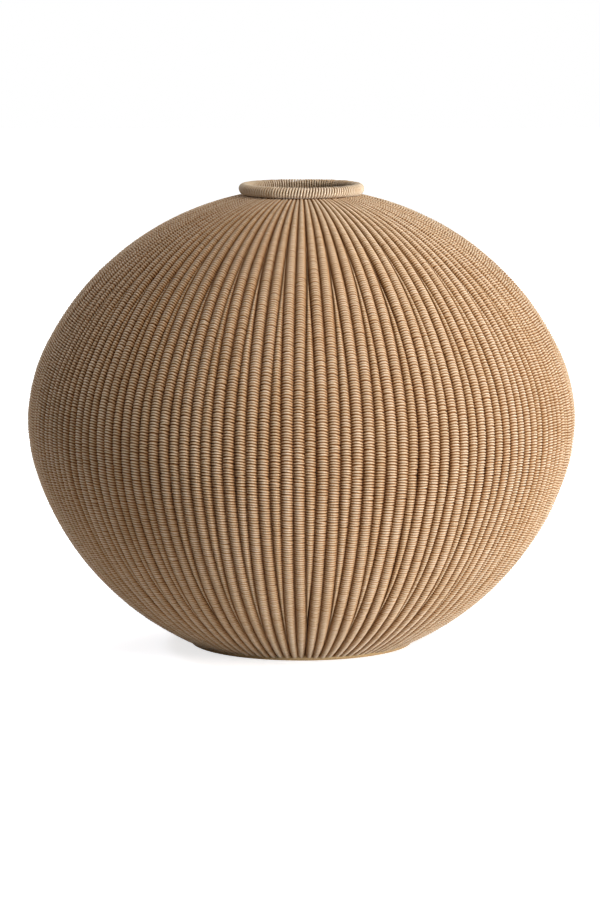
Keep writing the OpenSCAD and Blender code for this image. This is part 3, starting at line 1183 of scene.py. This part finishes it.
@dataclass
class InnerWeb:
    """Back passes of the twine, which tie the ribs together on the inside.

    Sizes are in millimetres.

    Attributes:
        outline: Outline of the body.
        lower_bands: Bands of the web below the seam.
        upper_bands: Bands of the web above it.
        outer_depth: Depth of the web's outer face below the crests.
        thickness: Thickness of the web.
        clearance: Distance of the rows from the ends of a band.
        pitch: Distance from one row to the next, drawn coarser than the real two
            millimetres because the rows show only through the mouth.
        groove: Depth of the groove between two rows.
        tone: Scatter of tone from row to row.
        lay_radius: Radius that turns azimuth into a length of twine.
        segments: Steps around the web.
        outer_steps: Rings of corner points on the hidden outer face.
        draw: Source of chance.
    """

    outline: BodyOutline
    lower_bands: int = 3
    upper_bands: int = 4
    outer_depth: float = 7.7
    thickness: float = 1.5
    clearance: float = 0.2
    pitch: float = 4.0
    groove: float = 0.6
    tone: float = 0.12
    lay_radius: float = 180.0
    segments: int = 102
    outer_steps: int = 30
    draw: np.random.Generator = field(
        default_factory=lambda: np.random.default_rng(SEED + 2)
    )

    def build_band(self, node: str, finish: bpy.types.Material) -> Piece:
        """Builds one band of the web as a closed shell.

        Args:
            node: CAD node that the band stands for, which gives its height.
            finish: Twine material.

        Returns:
            The finished piece.
        """
        low, high = (corner.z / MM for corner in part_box(node))
        inner_depth = self.outer_depth + self.thickness
        runs = self.outline.samples()
        heights = self.outline.at(runs, inner_depth)[1]
        ends = [low + self.clearance, high - self.clearance]
        first, last = np.interp(ends, heights, runs)
        rows = max(2, round((last - first) / self.pitch))
        inner_runs = np.linspace(first, last, 2 * rows + 1)
        dip = np.where(np.arange(len(inner_runs)) % 2, 0.0, self.groove)
        outer_runs = np.linspace(last, first, self.outer_steps)
        outer = self.outline.at(outer_runs, self.outer_depth)
        inner = self.outline.at(inner_runs, inner_depth - dip)
        radius = np.concatenate([outer[0], inner[0]])
        height = np.clip(np.concatenate([outer[1], inner[1]]), low, high)
        # The crown mark paints shade in the grooves between rows and darkens the hidden outer
        # face
        crown = np.concatenate([np.zeros(len(outer_runs)), 1.0 - dip / self.groove])
        runs_round = np.concatenate([outer_runs, inner_runs])
        count = len(radius)

        # A plain ring of this radius, whose corners then take their places
        ring = 2.0
        bpy.ops.object.select_all(action="DESELECT")
        bpy.ops.mesh.primitive_torus_add(
            major_segments=self.segments,
            minor_segments=count,
            major_radius=ring,
            minor_radius=0.5,
        )
        piece = bpy.context.object
        piece.name = piece.data.name = f"inner_{node}"
        bpy.ops.object.shade_smooth()
        base = corners(piece)
        azimuth = np.arctan2(base[:, 1], base[:, 0])
        minor = np.arctan2(base[:, 2], np.hypot(base[:, 0], base[:, 1]) - ring)
        spot = np.rint(-minor / (2 * math.pi) * count).astype(int) % count
        points = from_axis(radius[spot], azimuth, height[spot]) * MM
        tone = MIDDLE_TONE + self.draw.normal(0.0, self.tone, count)
        lay = np.stack([azimuth * self.lay_radius, runs_round[spot], 0.0 * azimuth], axis=1)
        marks = {Mark.LAY: lay, Mark.TONE: tone[spot], Mark.CROWN: crown[spot]}
        set_corners(piece, points, marks)
        close_up(piece)
        dress(piece, finish)
        install(piece, [node])
        return piece

    def build(self, finish: bpy.types.Material) -> list[Piece]:
        """Builds all bands of the web from the foot up.

        Args:
            finish: Twine material.

        Returns:
            One piece for each band.
        """
        nodes = [f"lower_web_{number + 1:02d}" for number in range(self.lower_bands)]
        nodes += [f"upper_web_{number + 1:02d}" for number in range(self.upper_bands)]
        return [self.build_band(node, finish) for node in nodes]


@dataclass
class StakeWires:
    """Wires inside the main ribs, which carry the shape from the board to the hoop.

    Sizes are in millimetres.

    Attributes:
        outline: Outline of the body.
        layout: Places and widths of the ribs.
        sets: Pieces that the wires are gathered in.
        radius: Radius of the wire.
        depth: Depth of the wire's middle below the crests.
        overrun: Length at each end that sits in the board or in the neck hoop.
        sides: Corners around the wire.
        rings: Steps along the wire.
    """

    outline: BodyOutline
    layout: RibLayout
    sets: int = 6
    radius: float = 0.8
    depth: float = 3.67
    overrun: float = 2.3
    sides: int = 6
    rings: int = 36

    def shape(self, form: Piece, azimuth: float, side: int) -> None:
        """Draws a template out into one wire with flat ends.

        Args:
            form: Copy of the template.
            azimuth: Azimuth of the pair of ribs.
            side: Side of the pair that the rib lies on, one or minus one.
        """
        level, turn = spots(form, self.rings)
        share = np.clip((level - 1) / (self.rings - 2), 0.0, 1.0)
        run = share * (self.outline.length() + 2 * self.overrun) - self.overrun
        thick = np.where((level == 0) | (level == self.rings), 0.0, self.radius)
        middle = self.outline.at(run, self.depth)[0]
        reach, height = self.outline.at(run, self.depth - thick * np.cos(turn))
        aside = side * self.layout.main_half(middle) + thick * np.sin(turn)
        set_corners(form, from_plane(reach, aside, height, azimuth), {})

    def build(self, finish: bpy.types.Material) -> list[Piece]:
        """Builds the wires, gathered in the sets of the CAD nodes.

        Args:
            finish: Wire material.

        Returns:
            One piece for each set.
        """
        blank = template("wire_template", self.sides, self.rings)
        places = self.layout.main_places()
        pieces = gathered(blank, "wire_stakes", self.sets, places, self.shape)
        for number, piece in enumerate(pieces, 1):
            dress(piece, finish)
            install(piece, [f"main_stakes_{number:02d}"])
        return pieces


@dataclass
class Fittings:
    """Solid pieces of the CAD model that stay, and their finishes.

    Attributes:
        birch: Finish of the base board.
        cane: Finish of the hoops and the rim rod.
        felt: Finish of the foot pad.
    """

    # Sanded birch is pale and matt, with long fine grain in one direction
    birch: GrainFinish = GrainFinish(
        "sanded_birch_board", "#C9AA7C", "#AD8B5C", (60.0, 4.0, 4.0), 0.55
    )
    # Peeled cane is brown and smooth, with thin streaks along its length, and is drawn darker
    # than plain cane as painted shade, so the gaps between the rim turns and the hoops in the
    # mouth read dark
    cane: GrainFinish = GrainFinish(
        "peeled_cane_hoop", "#8C6338", "#5F4023", (9.0, 9.0, 0.8), 0.5
    )
    # Pressed felt is dull and mottled all over, with a soft uneven face
    felt: GrainFinish = GrainFinish(
        "pressed_wool_felt", "#BFA177", "#A2845A", (1.2, 1.2, 1.2), 0.95, 0.0, 0.15
    )

    def dress(self, nodes: dict[str, Piece]) -> None:
        """Gives each carried-over CAD node its material.

        Args:
            nodes: CAD nodes of the frame by name.
        """
        cane = self.cane.make()
        finishes = {
            "foot_pad": self.felt.make(),
            "base_board": self.birch.make(),
            "belly_hoop": cane,
            "neck_hoop": cane,
            "rim_rod": cane,
        }
        for name, material in finishes.items():
            dress(nodes[name], material)
            LOG.info("%s: %s", name, material.name)


@dataclass(frozen=True)
class Softbox:
    """One square soft lamp that faces the vase.

    Attributes:
        name: Name of the lamp.
        turn: Turn from the camera's side to the right, in degrees.
        rise: Angle above the level of the vase's middle, in degrees.
        size: Length of a side, in metres.
        power: Power in watts.
        colour: Colour of the light.
        distance: Distance from the vase, in metres.
    """

    name: str
    turn: float
    rise: float
    size: float
    power: float
    colour: str = WHITE
    distance: float = 3.0


@dataclass
class Studio:
    """Pale floor, white surroundings, soft lamps and the camera of the photo.

    Attributes:
        eye: Place of the camera, in metres.
        pitch: Angle by which the camera looks down.
        focal: Focal length, in millimetres.
        sensor: Width of the camera's sensor, in millimetres.
        floor_size: Side of the floor, in metres.
        floor_light: Colour of the pale fibres of the paper.
        floor_dark: Colour of its darker fibres.
        floor_roughness: Roughness of the paper.
        fibre_size: Size of the fibres, in millimetres, drawn coarser than those of
            real paper, which are too fine to show.
        floor_lift: Glow of the paper for the camera below the vase.
        shadow_reach: Distances between which this glow rises to white, in metres.
        aim_height: Height that the lamps face, in metres.
        lamps: All lamps.
    """

    eye: tuple[float, float, float] = (-0.0011, -3.0, 0.5644)
    pitch: float = math.radians(8.03)
    focal: float = 165.5
    sensor: float = 36.0
    floor_size: float = 12.0
    floor_light: str = "#F6F6F6"
    floor_dark: str = "#F3F3F3"
    floor_roughness: float = 0.9
    fibre_size: float = 2.5
    floor_lift: float = 0.71
    shadow_reach: tuple[float, float] = (0.12, 0.5)
    aim_height: float = 0.17
    # Two keys and the edge lamp light the ribs from the right, the front and top lamps
    # open the shadows, the rims draw the left edge, and the back lamp lights the back
    lamps: tuple[Softbox, ...] = (
        Softbox("low_key_lamp", 57.0, 4.0, 0.85, 72.0, "#F1F7FF"),
        Softbox("high_key_lamp", 46.0, 31.0, 1.5, 51.0, "#FFF7EE"),
        Softbox("edge_lamp", 90.0, 5.0, 0.6, 24.0, "#D6E6FF"),
        Softbox("front_lamp", 20.0, 2.0, 0.6, 9.5),
        Softbox("top_lamp", 0.0, 85.0, 1.5, 13.0),
        Softbox("low_rim_lamp", -126.0, 10.0, 0.7, 11.0, "#F6F6FF"),
        Softbox("high_rim_lamp", -104.0, 40.0, 0.4, 23.0, "#EAF0FF"),
        Softbox("back_lamp", 178.0, 30.0, 1.2, 26.0),
    )

    def build_camera(self) -> None:
        """Adds the camera at the photo's viewing angle."""
        camera = bpy.data.cameras.new("camera")
        camera.sensor_fit = "AUTO"
        camera.sensor_width = self.sensor
        camera.lens = self.focal
        holder = bpy.data.objects.new("camera", camera)
        holder.location = self.eye
        holder.rotation_euler = (math.pi / 2 - self.pitch, 0.0, 0.0)
        bpy.context.scene.collection.objects.link(holder)
        bpy.context.scene.camera = holder
        bpy.context.scene.view_settings.view_transform = "Standard"

    def build_world(self) -> None:
        """Sets surroundings that are seen as white and give no light of their own."""
        world = bpy.data.worlds.new("studio")
        bpy.context.scene.world = world
        world.use_nodes = True
        tree = world.node_tree
        tree.nodes.clear()
        path = add_node(tree, "ShaderNodeLightPath")
        mirrored = add_node(
            tree,
            "ShaderNodeMath",
            {"operation": "MAXIMUM"},
            {0: path.outputs["Is Glossy Ray"], 1: path.outputs["Is Transmission Ray"]},
        )
        seen = add_node(
            tree,
            "ShaderNodeMath",
            {"operation": "MAXIMUM"},
            {0: path.outputs["Is Camera Ray"], 1: mirrored.outputs[0]},
        )
        white = add_node(
            tree,
            "ShaderNodeBackground",
            inputs={"Color": linear(WHITE), "Strength": seen.outputs[0]},
        )
        add_node(tree, "ShaderNodeOutputWorld", inputs={"Surface": white.outputs[0]})

    def build_floor(self) -> Piece:
        """Adds the floor, which is white paper with the object's shadow on it.

        Returns:
            The floor.
        """
        bpy.ops.object.select_all(action="DESELECT")
        bpy.ops.mesh.primitive_plane_add(size=self.floor_size)
        floor = bpy.context.object
        floor.name = "floor"
        # White paper is matt and even, with a faint grain of fibres
        material, shader = fresh_material("white_paper_sweep")
        tree = material.node_tree
        place = add_node(tree, "ShaderNodeTexCoord")
        fibre = add_node(
            tree,
            "ShaderNodeTexNoise",
            inputs={
                "Vector": place.outputs["Object"],
                "Scale": 1.0 / (self.fibre_size * MM),
            },
        )
        colour = add_node(
            tree,
            "ShaderNodeValToRGB",
            inputs={"Fac": fibre.outputs["Fac"]},
            stops=[(0.3, self.floor_dark), (0.7, self.floor_light)],
        )
        # Away from the vase the paper fades to white, near it the shadow stays
        away = add_node(
            tree,
            "ShaderNodeVectorMath",
            {"operation": "LENGTH"},
            {0: place.outputs["Object"]},
        )
        lift = add_node(
            tree,
            "ShaderNodeMapRange",
            {"interpolation_type": "SMOOTHSTEP"},
            {
                "Value": away.outputs["Value"],
                "From Min": self.shadow_reach[0],
                "From Max": self.shadow_reach[1],
                "To Min": self.floor_lift,
                "To Max": 1.0,
            },
        )
        path = add_node(tree, "ShaderNodeLightPath")
        glow = add_node(
            tree,
            "ShaderNodeMath",
            {"operation": "MULTIPLY"},
            {0: path.outputs["Is Camera Ray"], 1: lift.outputs[0]},
        )
        tree.links.new(colour.outputs["Color"], shader.inputs["Base Color"])
        tree.links.new(glow.outputs[0], shader.inputs["Emission Strength"])
        shader.inputs["Emission Color"].default_value = linear(WHITE)
        shader.inputs["Roughness"].default_value = self.floor_roughness
        dress(floor, material)
        return floor

    def build_lamp(self, lamp: Softbox) -> None:
        """Adds one soft lamp that faces the vase.

        Args:
            lamp: Place, size and power of the lamp.
        """
        light = bpy.data.lights.new(lamp.name, "AREA")
        light.size = lamp.size
        light.energy = lamp.power
        light.color = linear(lamp.colour)[:3]
        holder = bpy.data.objects.new(lamp.name, light)
        turn, rise = math.radians(lamp.turn), math.radians(lamp.rise)
        away = Vector(
            (
                math.cos(rise) * math.sin(turn),
                -math.cos(rise) * math.cos(turn),
                math.sin(rise),
            )
        )
        holder.location = Vector((0.0, 0.0, self.aim_height)) + lamp.distance * away
        holder.rotation_euler = away.to_track_quat("Z", "Y").to_euler()
        bpy.context.scene.collection.objects.link(holder)

    def build(self) -> None:
        """Builds the whole studio."""
        self.build_camera()
        self.build_world()
        self.build_floor()
        for lamp in self.lamps:
            self.build_lamp(lamp)


def main() -> None:
    logging.basicConfig(level=logging.INFO, format="%(message)s")
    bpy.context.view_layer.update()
    outline = BodyOutline()
    layout = RibLayout()
    Studio().build()
    # The same twine all over. The fillers between the ribs are painted a little darker as
    # painted shade, and the web inside darker and browner as painted shade of the vase's
    # inside
    rib_twine = TwineFinish("wound_paper_twine_ribs").make()
    filler_twine = TwineFinish("wound_paper_twine_fillers", middle="#D7C5A8").make()
    rim_twine = TwineFinish("wound_paper_twine_rim").make()
    web_twine = TwineFinish("woven_paper_twine_web", light="#D3B68C", middle="#BE9C70").make()
    # Annealed wire is dull grey metal with dark drawing marks
    wire = GrainFinish(
        "annealed_iron_wire", "#6A6560", "#46423E", (3.0, 3.0, 8.0), 0.45, 1.0, 0.02
    ).make()
    whipping = RibWhipping(outline, layout)
    whipping.build(RibKind.MAIN, rib_twine)
    whipping.build(RibKind.FILLER, filler_twine)
    RimWinding().build(rim_twine)
    InnerWeb(outline).build(web_twine)
    StakeWires(outline, layout).build(wire)
    Fittings().dress(frame["nodes"])
    bpy.context.view_layer.update()


if __name__ == "__main__":
    main()
